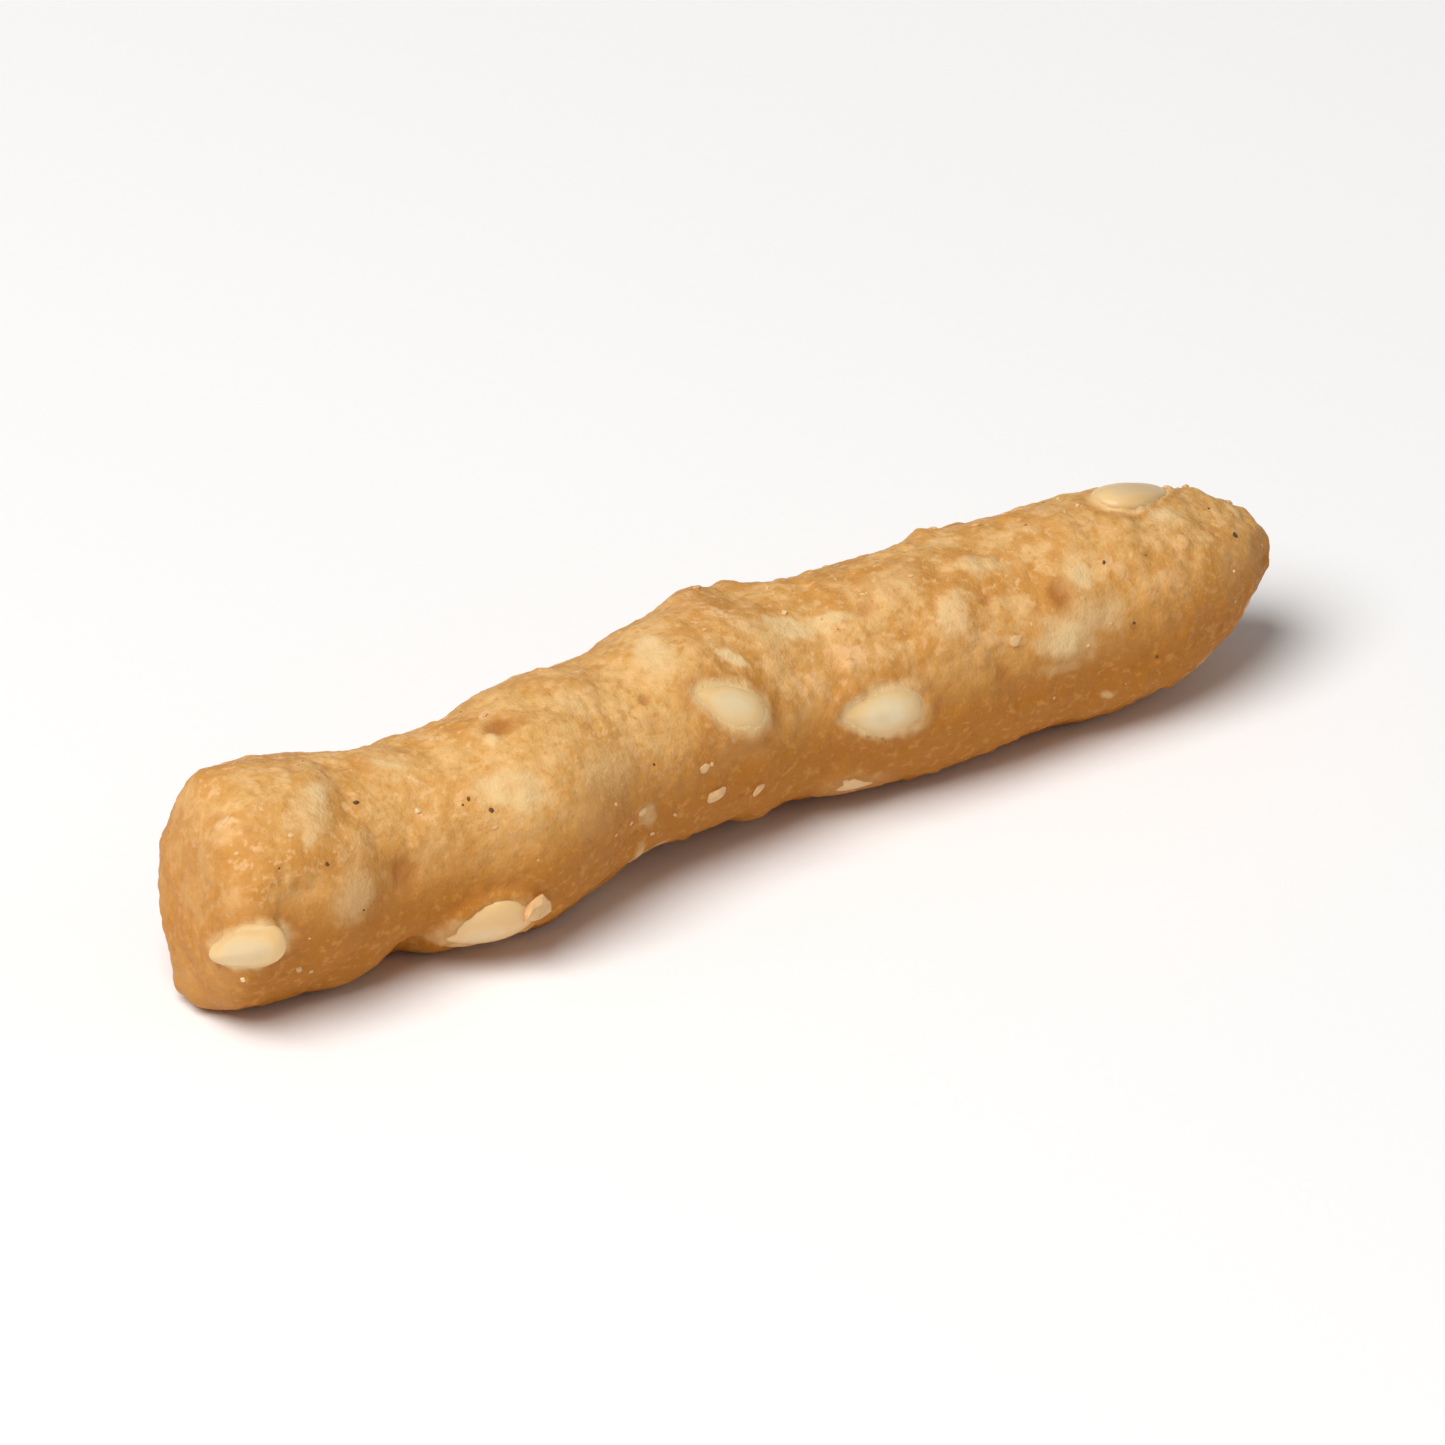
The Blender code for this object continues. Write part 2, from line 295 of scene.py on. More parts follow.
PEACH_PATCHES = (
    (0.7, 107, -38, 0.79, 0.30, 1.00),
    (0.6, 113, -41, 1.10, 0.73, 0.50),
    (3.2, 91, -40, 0.50, 0.16, 0.90),
    (4.0, 165, 46, 1.60, 1.30, 0.45),
    (19.2, 89, -55, 1.10, 0.46, 1.00),
    (19.6, 104, -42, 0.93, 0.42, 0.90),
    (22.6, 136, -14, 0.95, 0.80, 1.00),
    (21.9, 136, 13, 0.69, 0.39, 0.40),
    (22.7, 118, -59, 0.78, 0.24, 0.55),
    (22.6, 109, -65, 0.65, 0.17, 0.45),
    (20.6, 145, -72, 0.95, 0.24, 1.00),
    (21.1, 145, -71, 0.85, 0.22, 1.00),
    (21.4, 149, -72, 0.75, 0.20, 0.80),
    (23.9, 129, -21, 0.79, 0.16, 0.70),
    (26.2, 126, 45, 1.10, 0.90, 0.95),
    (26.6, 142, -17, 0.68, 0.55, 0.55),
    (27.9, 152, -26, 0.89, 0.36, 1.00),
    (27.3, 148, -17, 0.62, 0.31, 0.65),
    (34.4, 128, -43, 0.56, 0.40, 0.50),
    (8.6, 85, -21, 0.39, 0.30, 0.95),
    (10.4, 83, 33, 0.58, 0.24, 0.95),
    (7.4, 94, -19, 0.31, 0.30, 0.80),
    (18.4, 69, 4, 1.73, 1.60, 0.35),
    (33.5, 149, 41, 0.99, 0.68, 0.35),
    (24.6, 108, 3, 0.76, 0.56, 0.50),
    (25.7, 136, 59, 0.65, 0.40, 0.30),
)
BROWN_PATCHES = (
    (5.9, 161, 47, 1.10, 1.01, 0.85),
    (10.4, 95, -20, 1.60, 0.90, 0.60),
    (29.8, 139, 60, 1.30, 0.80, 0.55),
    (15.3, 120, -29, 0.46, 0.40, 0.70),
    (27.5, 127, 0, 0.75, 0.44, 0.60),
    (27.2, 167, 58, 0.75, 0.58, 0.80),
    (27.5, 178, -19, 0.99, 0.51, 0.80),
    (23.7, 112, 41, 0.96, 0.55, 0.45),
    (37.2, 140, 0, 0.60, 0.40, 0.55),
    (0.4, 122, -49, 0.83, 0.31, 0.55),
    (0.6, 98, -60, 0.80, 0.35, 0.45),
    (1.3, 121, -28, 0.62, 0.42, 0.45),
    (2.4, 191, -16, 1.17, 0.58, 0.50),
    (32.0, 166, 49, 0.46, 0.36, 0.40),
    (26.9, 111, 10, 0.92, 0.43, 0.35),
    (15.3, 133, -26, 0.83, 0.49, 0.35),
    (18.1, 161, -19, 0.76, 0.31, 0.40),
    (28.8, 142, 45, 0.66, 0.33, 0.50),
    (33.1, 129, -11, 0.67, 0.50, 0.40),
    (17.8, 94, -38, 0.46, 0.50, 0.40),
    (7.8, 147, -10, 1.11, 0.46, 0.35),
)

# Of each kind: the patches that show, how many loose ones are added, and where a patch begins
# to fade, as a share of its outline
PATCHES = {
    "cream": (CREAM_PATCHES, 26, 0.45),
    "peach": (PEACH_PATCHES, 44, 0.80),
    "brown": (BROWN_PATCHES, 34, 0.50),
}
PATCH_STRETCH = (0.03, 0.97)
LOOSE_PATCH_LENGTHS = (0.30, 1.30)
LOOSE_PATCH_WIDTHS = (0.25, 0.70)
LOOSE_PATCH_STRENGTHS = (0.20, 0.65)
PATCH_RISE = 0.03 * MM

# Sockets of a material's nodes: a range's own, and the colours of a mix, whose names its other
# kinds of value share
RANGE_SOCKETS = ("From Min", "From Max", "To Min", "To Max")
MIX_UNDER = 6
MIX_OVER = 7
MIX_RESULT = 2

# The lights, from the stick's middle and in metres, and the camera, in mm: its lens is so long
# that the view is nearly without perspective
KEY_PLACE = (-0.23, -0.06, 0.41)
KEY_SIZE = 0.38
FILL_PLACE = (0.42, -0.34, 0.26)
FILL_SIZE = 0.40
WARM_WHITE = (1.0, 0.985, 0.96)
SWEEP_SIZE = 3.0
SWEEP_DEPTH = 0.02 * MM
SENSOR = 36.0
LENS = 720.0


def linear(code):
    """The linear colour of an sRGB hex code."""
    parts = [int(code[k : k + 2], 16) / 255 for k in (1, 3, 5)]
    return [p / 12.92 if p <= 0.04045 else ((p + 0.055) / 1.055) ** 2.4 for p in parts]


def colour_property(name, description, code):
    return FloatVectorProperty(
        name=name, description=description, default=linear(code), subtype="COLOR", min=0, max=1
    )


def length_property(name, description, size):
    return FloatProperty(
        name=name, description=description, default=size * MM, unit="LENGTH", precision=6
    )


class DoughSettings(bpy.types.PropertyGroup):
    """Sizes and colours of the fried dough."""

    lump_wave: length_property("Lump spacing", "Distance between broad lumps", 5.2)
    lump_rise: length_property("Lump height", "How far broad lumps stand out", 0.28)
    knob_wave: length_property("Knob spacing", "Distance between small knobs", 2.0)
    knob_rise: length_property("Knob height", "How far small knobs stand out", 0.13)
    skin: length_property("Skin", "Thickness of the skin over a covered seed", 0.07)
    golden: colour_property("Golden", "Colour of the plain crust", "#e2b06a")
    ochre: colour_property("Ochre", "Colour of the oilier, deeper patches", "#d2944a")
    tan: colour_property("Dry tan", "Colour of the dry film on the high spots", "#ebbb7a")
    # painted shade: a deeper, darker colour for the crust low on the sides and round the tapered
    # tip
    flank_shade: colour_property("Flank", "Colour of the crust low on the sides", "#b8721d")
    browned: colour_property("Browned", "Colour of browned ridges and ends", "#be7c3a")
    pit: colour_property("Pit", "Colour at the bottom of browned pits", "#ad6a2c")
    cream: colour_property("Cream film", "Colour of dry film and of skin over a seed", "#eeca92")
    peach: colour_property("Peach film", "Colour of thin dry dough", "#efbd82")


class SeedSettings(bpy.types.PropertyGroup):
    """Sizes and colours of the hulled sesame seeds."""

    length: length_property("Length", "Length of a seed", 2.95)
    width: length_property("Width", "Width of a seed", 1.72)
    thickness: length_property("Thickness", "Thickness of a seed", 0.86)
    ivory: colour_property("Ivory", "Colour of most seeds", "#efd9b0")
    honey: colour_property("Honey", "Colour of the darkest seeds", "#e2bd88")
    tip: colour_property("Tip", "Colour at a seed's pointed end", "#d5a96c")


class SprinkleSettings(bpy.types.PropertyGroup):
    """Sizes, numbers and colours of salt, crumbs and bran."""

    salt_size: length_property("Salt size", "Length of a salt grain", 0.15)
    salt_count: IntProperty(name="Salt grains", description="Number of salt grains", default=16)
    salt: colour_property("Salt", "Colour of salt", "#f0cc96")
    crumb_size: length_property("Crumb size", "Length of a scattered crumb", 0.26)
    crumb_count: IntProperty(name="Crumbs", description="Number of scattered crumbs", default=70)
    crumb: colour_property("Crumb", "Colour of pale crumbs", "#e8ba80")
    bran_size: length_property("Bran size", "Length of a bran fleck", 0.15)
    bran_count: IntProperty(name="Bran flecks", description="Number of bran flecks", default=24)
    bran: colour_property("Bran", "Colour of bran flecks", "#6d4a22")


class StageSettings(bpy.types.PropertyGroup):
    """The sweep, the lights and the camera."""

    sweep: colour_property("Sweep", "Colour of the paper sweep", "#fdfcfb")
    key_power: FloatProperty(name="Key light", description="Power of the key light", default=2.4)
    fill_power: FloatProperty(name="Fill light", description="Power of the fill light", default=0.2)
    sky: FloatProperty(name="Sky", description="Strength of the white surroundings", default=0.2)
    azimuth: FloatProperty(name="Azimuth", description="View angle round the stick", default=-32)
    elevation: FloatProperty(name="Elevation", description="View angle above it", default=32)
    view_width: length_property("View width", "Width of the picture at the stick", 43.5)


def along_rope(distance):
    """Thickness, shift to the far side and lift of the rope at distances from its blunt end."""
    marks, values = STATIONS[:, 0], STATIONS[:, 1:]
    place = np.clip(np.asarray(distance) / MM, 0, marks[-1])
    last = len(marks) - 1
    before = np.maximum(np.arange(last + 1) - 1, 0)
    after = np.minimum(np.arange(last + 1) + 1, last)
    slopes = (values[after] - values[before]) / (marks[after] - marks[before])[:, None]
    k = np.clip(np.searchsorted(marks, place) - 1, 0, last - 1)
    span = (marks[k + 1] - marks[k])[..., None]
    t = (place - marks[k])[..., None] / span
    blend = t * t * (3 - 2 * t)
    found = values[k] + (values[k + 1] - values[k]) * blend
    found += slopes[k] * span * t * (1 - t) ** 2 - slopes[k + 1] * span * t * t * (1 - t)
    return np.moveaxis(found * MM, -1, 0)


def fullness(distance):
    """Share of the rope's full thickness, which falls to nothing at both ends."""
    share = np.ones_like(np.asarray(distance, float))
    for from_end, reach, (power, root) in (
        (distance, BLUNT_END, BLUNT_ROUNDING),
        (ROPE_LENGTH - distance, TAPERED_END, TAPERED_ROUNDING),
    ):
        u = np.clip(from_end / reach, 0, 1)
        share = share * np.maximum(1 - (1 - u) ** power, 0) ** root
    return share


def rope_point(distance, angle):
    """Points of the rope before its relief. Angle 0 is the far side, and a quarter turn is up."""
    thickness, shift, lift = along_rope(distance)
    full = fullness(distance)
    radius = full * thickness / 2
    slant = np.exp(-((distance / SLANT_REACH) ** 2)) * SLANT_OF_BLUNT_END
    lean = slant * np.cos(angle - SLANT_SIDE) * full
    height = (thickness + MEAN_DIAMETER) / 4 - SETTLED + lift
    return np.stack(
        (
            distance - ROPE_LENGTH / 2 - lean,
            shift + radius * np.cos(angle),
            height + radius * np.sin(angle),
        ),
        axis=-1,
    )


def rope_frame(distance, angle):
    """Point, outward normal and the direction along the stick, on the rope before its relief."""
    step, turn = 0.02 * MM, 0.01
    distance = min(max(distance, 2 * step), ROPE_LENGTH - 2 * step)
    ends = np.array((distance, distance + step, distance - step, distance, distance, distance))
    turns = angle + np.array((0, 0, 0, turn, -turn, math.pi))
    point, ahead, behind, left, right, across = map(Vector, rope_point(ends, turns))
    along = ahead - behind
    normal = (left - right).cross(along).normalized()
    if normal.dot(point - across) < 0:
        normal.negate()
    return point, normal, along.normalized()


def surface_axes(distance, angle, turn, height=0.0):
    """A frame on the rope: X turned from the stick's line, Z outwards."""
    point, normal, line = rope_frame(distance, angle)
    side = normal.cross(line).normalized()
    axes = Matrix((line, side, normal)).transposed().to_4x4()
    spin = Matrix.Rotation(math.radians(turn), 4, "Z")
    return Matrix.Translation(point + normal * height) @ axes @ spin


def between(angle, limits):
    return limits[0] < angle < limits[1]


def drawn_place(draw, stretch):
    """A distance along a stretch of the rope and an angle round it, by chance."""
    return draw.uniform(*stretch) * ROPE_LENGTH, draw.uniform(0, 2 * math.pi)


def all_seeds():
    """Frames of the bare seeds and of the covered ones, each with how much of it shows."""
    draw = random.Random(DRAW + 1)
    showing = random.Random(DRAW + 2)
    seeds, taken = {True: [], False: []}, []

    def place(bare, along, angle, turn, size, shows):
        taken.append(rope_frame(along, math.radians(angle))[0])
        height = BARE_HEIGHT if bare else COVERED_HEIGHT
        axes = surface_axes(along, math.radians(angle), turn, height)
        seeds[bare].append((axes @ Matrix.Scale(size, 4), shows))

    for bare, shown in ((True, BARE_SEEDS_SHOWN), (False, COVERED_SEEDS_SHOWN)):
        for along, angle, turn, size, shows in shown:
            place(bare, along * MM, angle, turn, size, shows)
    for bare, count in ((True, BARE_SEEDS), (False, COVERED_SEEDS)):
        for _ in range(TRIES):
            if len(seeds[bare]) >= count:
                break
            along = draw.uniform(*SEEDED_STRETCH) * ROPE_LENGTH
            angle = draw.uniform(0, 360)
            turn, size = draw.uniform(0, 360), draw.uniform(*SEED_SIZES)
            point = Vector(rope_point(along, math.radians(angle)))
            near = min((point - other).length for other in taken) < SEED_SPACING
            low = bare and between(angle, UNDERSIDE)
            if not near and not low and not between(angle, SHOWN_SIDE):
                shows = showing.uniform(*(BARE_SHARES if bare else CLEARNESS))
                place(bare, along, angle, turn, size, shows)
    return seeds[True], seeds[False]


def all_crags():
    """The crags that show, and small ones scattered over the rest."""
    draw = random.Random(DRAW)
    crags = []
    for along, angle, height, reach_along, reach_round in CRAGS:
        point, _, line = rope_frame(along * MM, math.radians(angle))
        crags.append((point, line, height * MM, reach_along * MM, reach_round * MM))
    for _ in range(SCATTERED_CRAGS):
        point, _, line = rope_frame(*drawn_place(draw, CRAG_STRETCH))
        height = draw.uniform(*CRAG_HEIGHTS) * MM
        reach = draw.uniform(*CRAG_REACHES) * MM
        crags.append((point, line, height, reach, reach))
    return crags


def noise_at(points, wavelength, origin=RELIEF_ORIGIN):
    """Smooth noise from -1 to 1 at points, with lumps about half a wavelength across."""
    return np.array([noise.noise(p) for p in (points / wavelength + origin).tolist()])


def wander(points, waves):
    """Noises added up, each of its wavelength in mm and its own share."""
    return sum(share * noise_at(points, wave * MM) for wave, share in waves)


def ramp(value, low, high):
    """0 below low, 1 above high, and a smooth rise between."""
    t = np.clip((value - low) / (high - low), 0, 1)
    return t * t * (3 - 2 * t)


def crag_height(points, crags):
    """Height that the crags add: round knobs that fade out at their reach."""
    height = np.zeros(len(points))
    for centre, line, rise, reach_along, reach_round in crags:
        away = points - np.array(centre)
        along = away @ np.array(line)
        across = np.sqrt(np.maximum((away**2).sum(1) - along**2, 0))
        far = np.hypot(along / reach_along, across / reach_round)
        height += np.where(far < CRAG_EDGE, rise * np.exp(-CRAG_FALL * far * far), 0)
    return height


def blister_height(points, draw):
    """Small round blisters, each higher than its neighbours by chance."""
    height = np.zeros(len(points))
    for _ in range(BLISTERS):
        centre = rope_point(*drawn_place(draw, BUBBLE_STRETCH))
        reach = draw.uniform(*BLISTER_REACHES) * MM
        rise = draw.uniform(*BLISTER_RISE) * reach
        far = np.sqrt(((points - centre) ** 2).sum(1)) / reach
        height = np.maximum(height, rise * (1 - ramp(far, 0.2, 1.3)))
    return height


def pit_depth(points, draw):
    """Burst bubbles: depth, and how browned each is, from 0 to 1."""
    pits = [(a * MM, math.radians(t), r * MM, d * MM) for a, t, r, d in PITS_SHOWN]
    for _ in range(PITS):
        reach = draw.uniform(*PIT_REACHES) * MM
        along, angle = drawn_place(draw, BUBBLE_STRETCH)
        pits.append((along, angle, reach, reach * draw.uniform(*PIT_SINK)))
    depth, brown = np.zeros(len(points)), np.zeros(len(points))
    wobble = wander(points, PIT_EDGE)
    for along, angle, reach, sink in pits:
        centre = rope_point(along, angle)
        far = np.sqrt(((points - centre) ** 2).sum(1)) / reach + wobble
        rim = PIT_RIM * np.exp(-(((far - 1.25) / 0.3) ** 2))
        depth += sink * ((1 - ramp(far, 0.1, 1.1)) - rim)
        brown = np.maximum(brown, (1 - ramp(far, 0.2, 1.3)) * min(sink / FULLY_BROWNED, 1))
    return depth, brown


def wrinkle_height(points):
    """Ridges of wrinkled skin in patches, and how wrinkled each point is."""
    height, share = np.zeros(len(points)), np.zeros(len(points))
    for along, angle, turn, spacing, reach, rise in WRINKLES:
        axes = surface_axes(along * MM, math.radians(angle), turn)
        local = (points - np.array(axes.translation)) @ np.array(axes.to_3x3())
        far = np.sqrt((local**2).sum(1)) / (reach * MM)
        near = np.flatnonzero(far < 1.4)
        bent = local[near] / MM
        bent[:, 1] += wander(points[near], WRINKLE_BEND)
        stretched = bent * np.array((0.22, 1.0, 0.4)) / spacing
        ridge = 1 - np.abs(noise_at(stretched, 1.0)) * 2.6
        patch = 1 - ramp(far[near] + wander(points[near], WRINKLE_EDGE), 0.35, 1.0)
        height[near] += rise * MM * np.maximum(ridge, -0.3) * patch
        share[near] = np.maximum(share[near], np.maximum(ridge, 0) * patch)
    return height, share


def seed_place(points, seed, sizes):
    """Where points are in a seed's frame: distance from its middle as a share of its outline,
    share of the way to its pointed end, and height."""
    scale = seed.median_scale
    local = (points - np.array(seed.translation)) @ np.array(seed.to_3x3()) / scale**2
    u = np.clip(local[:, 0] / (sizes.length / 2), -2, 2)
    v = local[:, 1] / (sizes.width / 2) / (1 - SEED_TAPER * np.clip(u, -1, 1))
    return np.minimum(np.hypot(u, v), OFF_SEED), u, local[:, 2] * scale


def seed_skin_gap(points, seed, sizes):
    """How far points are outside a seed, below 0 inside it, and the share of its outline."""
    share, u, level = seed_place(points, seed, sizes)
    half = (1 - SEED_THINNING * np.clip(u, -1, 1)) * sizes.thickness / 2 * seed.median_scale
    reach = np.hypot(share, level / half)
    slope = np.hypot(share / (SEED_SIDE * sizes.width), level / half**2) / np.maximum(reach, 0.05)
    return (reach - 1) / slope, share


def drape(points, normals, height, seed, sizes, skin, fillet, edge=-1.0):
    """Heights at which a skin lies over a seed and runs smoothly into the crust round it, where
    the seed itself ends, and the share of its outline there. From the edge of an opening
    outwards the skin grows to its thickness."""
    lifts = np.linspace(*DRAPE_LIFTS, DRAPE_STEPS) * MM
    laid, own = np.full(len(points), lifts[0]), np.full(len(points), lifts[0])
    found = np.full(len(points), OFF_SEED)
    for lift in lifts:
        gap, share = seed_skin_gap(points + normals * lift, seed, sizes)
        own = np.where(gap < 0, lift - gap, own)
        found = np.where(gap < 0, share, found)
        grown = ramp(share, edge, edge + SKIN_GROWTH)
        to_skin = gap - skin * (SKIN_AT_EDGE + (1 - SKIN_AT_EDGE) * grown)
        to_crust = lift - height
        blend = (fillet * grown + LEAST_FILLET) * MM
        both = np.clip(1 - np.abs(to_skin - to_crust) / blend, 0, 1)
        gap = np.minimum(to_skin, to_crust) - both * both * blend / 4
        laid = np.where(gap < 0, lift - gap, laid)
    return laid, own, found


def close_to(points, seed):
    return np.flatnonzero(((points - np.array(seed.translation)) ** 2).sum(1) < SEED_REACH**2)


def cover_seeds(points, normals, height, seeds, dough, sizes):
    """Raises the crust over the covered seeds, and says how clearly each point shows a seed."""
    glow = np.zeros(len(points))
    for seed, shows in seeds:
        near = close_to(points, seed)
        at = points[near]
        laid, _, _ = drape(at, normals[near], height[near], seed, sizes, dough.skin, FILLETS[1])
        height[near] = laid
        share, _, _ = seed_place(at + normals[near] * height[near, None], seed, sizes)
        spread = 1 - ramp(share + wander(at, COVERED_EDGE), 0.40, 1.05)
        mottle = 0.80 + wander(at, COVERED_MOTTLE)
        glow[near] = np.maximum(glow[near], shows * spread * mottle)
    return glow


def bed_seeds(points, normals, height, seeds, dough, sizes):
    """Draws the crust up over the edges of the bare seeds, thinner and thinner, and opens it.
    Says how much of the seeds' dry film each point has, and how near it is to their rims."""
    glow, rim = np.zeros(len(points)), np.zeros(len(points))
    for seed, shows in seeds:
        near = close_to(points, seed)
        at, out = points[near], normals[near]
        edge = shows + wander(at, TORN_EDGE)
        laid, own, share = drape(at, out, height[near], seed, sizes, dough.skin, FILLETS[0], edge)
        # near its torn edge the crust lies no higher than the skin does
        lip = own + (LIP[0] + LIP[1] * ramp(share - edge, 0, 0.6)) * MM
        laid = np.where(share < 1.5, np.minimum(laid, lip), laid)
        sunk = own - SUNK * MM * ramp(edge - share, 0, 0.4)
        height[near] = np.minimum(np.where(share < edge, sunk, laid), height[near] + COLLAR * MM)
        share, _, _ = seed_place(at + out * height[near, None], seed, sizes)
        far = np.clip(0.75 + wander(at, FILM_HOLES), 0.2, 1)
        film = far + (1 - far) * (1 - ramp(share - edge, 0, 0.12))
        film *= ramp(shows, 0.1, 0.9) * (1 - ramp(share + wander(at, FILM_EDGE), 0.86, 1.22))
        glow[near] = np.maximum(glow[near], film)
        # a ring just outside each bare seed, which darkens the crust there as painted shade
        rim[near] = np.maximum(rim[near], np.exp(-(((share - 1.25) / 0.18) ** 2)))
    return glow, rim


def patch_share(points, shown, loose, fades_from, draw):
    """How strongly each point lies in a patch of one kind: those that show, and loose ones."""
    spots = [(a * MM, math.radians(t), s, n * MM, w * MM, c) for a, t, s, n, w, c in shown]
    for _ in range(loose):
        along, angle = drawn_place(draw, PATCH_STRETCH)
        length = draw.uniform(*LOOSE_PATCH_LENGTHS) * MM
        width, turn = length * draw.uniform(*LOOSE_PATCH_WIDTHS), draw.uniform(0, 180)
        spots.append((along, angle, turn, length, width, draw.uniform(*LOOSE_PATCH_STRENGTHS)))
    found = np.zeros(len(points))
    ragged = wander(points, PATCH_EDGE)
    for along, angle, turn, length, width, strength in spots:
        axes = surface_axes(along, angle, turn)
        away = points - np.array(axes.translation)
        near = np.flatnonzero((away**2).sum(1) < (1.5 * length) ** 2)
        u, v, _ = (away[near] @ np.array(axes.to_3x3())).T
        share = np.hypot(u / (length / 2), v / (width / 2)) + ragged[near]
        found[near] = np.maximum(found[near], (1 - ramp(share, fades_from, 1.25)) * strength)
    return found


def select_only(*objects):
    bpy.ops.object.select_all(action="DESELECT")
    for chosen in objects:
        chosen.select_set(True)
    bpy.context.view_layer.objects.active = objects[0]


def read_points(mesh, kind="co"):
    values = np.empty(len(mesh.vertices) * 3, np.float32)
    mesh.vertices.foreach_get(kind, values)
    return values.reshape(-1, 3).astype(float)


def write_points(mesh, points):
    mesh.vertices.foreach_set("co", points.astype(np.float32).ravel())
    mesh.update()


def write_mask(mesh, name, values):
    """A number from 0 to 1 at each point, which a material reads by its name."""
    mask = mesh.attributes.new(name, "FLOAT", "POINT")
    mask.data.foreach_set("value", np.clip(values, 0, 1).astype(np.float32))


def even_distances(count):
    """Distances along the rope that are evenly spaced over its surface, ends included."""
    steps = np.linspace(0, 1, PROFILE_STEPS)
    distance = ROPE_LENGTH * (1 - np.cos(steps * math.pi)) / 2
    radius = fullness(distance) * MEAN_DIAMETER / 2
    run = np.r_[0, np.cumsum(np.hypot(np.diff(distance), np.diff(radius)))]
    return np.interp(np.linspace(0, run[-1], count), run, distance)


def draw_out_ball():
    """A ball drawn out to the plain rope: the object, its points, and how far along they are."""
    bpy.ops.object.select_all(action="DESELECT")
    bpy.ops.mesh.primitive_uv_sphere_add(segments=SIDES, ring_count=RINGS, radius=1)
    piece = bpy.context.object
    ball = read_points(piece.data)
    ring = np.arccos(np.clip(-ball[:, 2], -1, 1)) / math.pi * RINGS
    distance = even_distances(RINGS + 1)[np.rint(ring).astype(int)]
    points = rope_point(distance, np.arctan2(ball[:, 0], ball[:, 1]))
    write_points(piece.data, points)
    select_only(piece)
    bpy.ops.object.mode_set(mode="EDIT")
    bpy.ops.mesh.select_all(action="SELECT")
    bpy.ops.mesh.normals_make_consistent(inside=False)
    bpy.ops.object.mode_set(mode="OBJECT")
    return piece, points, distance


def crust_relief(points, dough):
    """Heights of the crust before its seeds, and how much each point has of what colours it."""
    height = dough.lump_rise * noise_at(points, dough.lump_wave)
    height += dough.knob_rise * noise_at(points, dough.knob_wave)
    height += crag_height(points, all_crags())
    found = {"ridges": ramp(height, *RIDGE_HEIGHTS)}
    draw = random.Random(DRAW + 3)
    height += wander(points, FINE_RELIEF) * MM
    height += blister_height(points, draw)
    depth, found["browned"] = pit_depth(points, draw)
    folds, found["wrinkled"] = wrinkle_height(points)
    height += folds - depth
    for kind, (shown, loose, fades_from) in PATCHES.items():
        found[kind] = patch_share(points, shown, loose, fades_from, draw)
    height += PATCH_RISE * (found["cream"] + found["peach"] - found["brown"])
    return height, found


def crust_masks(points, distance, upward, found):
    """The masks that the crust's colours follow."""
    blunt, tapered = distance, ROPE_LENGTH - distance
    ends = 1 - ramp(np.minimum(blunt / TOASTED_ENDS[0], tapered / TOASTED_ENDS[1]), 0, 1)
    toasted = np.clip(0.3 + 0.35 * ends + 0.35 * found["ridges"], 0, 1)
    toasted *= ramp(0.5 + wander(points, TOASTED_SPOTS), 0.45, 0.95)
    # painted shade: darker where the crust faces down, stronger round the tapered tip and weaker on
    # the blunt face
    flank_shade = ramp(0.8 + 0.28 * (1 - ramp(tapered, 0, SHADED_TIP)) - upward, 0, 0.95)
    flank_shade *= 0.6 + 0.4 * ramp(blunt, 0, LESS_SHADED_FACE)
    # the seeds seen through the skin are dimmed where that painted shade lies
    glow = found["covered"] * (1 - 0.6 * flank_shade**2)
    pale = np.maximum(np.maximum(glow, found["film"]), found["cream"])
    # real oily brown patches, and a ring of painted shade round each bare seed
    oily_and_seed_shade = np.maximum(found["brown"], 0.45 * found["rim"])
    return {
        "toasted": toasted * (1 - 0.8 * pale),
        "flank_shade": flank_shade,
        "cream": pale,
        "peach": found["peach"],
        "oily_and_seed_shade": oily_and_seed_shade * (1 - pale),
        "pitted": found["browned"] * (1 - pale),
        "wrinkled": found["wrinkled"],
    }


def model_dough(dough, sizes):
    """The rope with its relief, its skin drawn up over the seeds, and its masks."""
    piece, points, distance = draw_out_ball()
    normals = read_points(piece.data, "normal")
    height, found = crust_relief(points, dough)
    bare, covered = all_seeds()
    found["covered"] = cover_seeds(points, normals, height, covered, dough, sizes)
    found["film"], found["rim"] = bed_seeds(points, normals, height, bare, dough, sizes)
    moved = points + normals * height[:, None]
    moved[:, 2] = np.maximum(moved[:, 2], 0)
    write_points(piece.data, moved - BOX_MIDDLE)
    for name, values in crust_masks(points, distance, normals[:, 2], found).items():
        write_mask(piece.data, name, values)
    piece.data.shade_smooth()
    return piece


def add_node(tree, kind, settings=None, links=None):
    """Adds a node, sets its own settings and its inputs, and links other outputs to inputs.
    An input is given by its name, or by its number where its name is shared."""
    made = tree.nodes.new(kind)
    for name, value in (settings or {}).items():
        if isinstance(name, int) or name in made.inputs:
            made.inputs[name].default_value = value
        else:
            setattr(made, name, value)
    for name, source in (links or {}).items():
        tree.links.new(source, made.inputs[name])
    return made


def opaque(colour):
    return (*colour, 1.0)


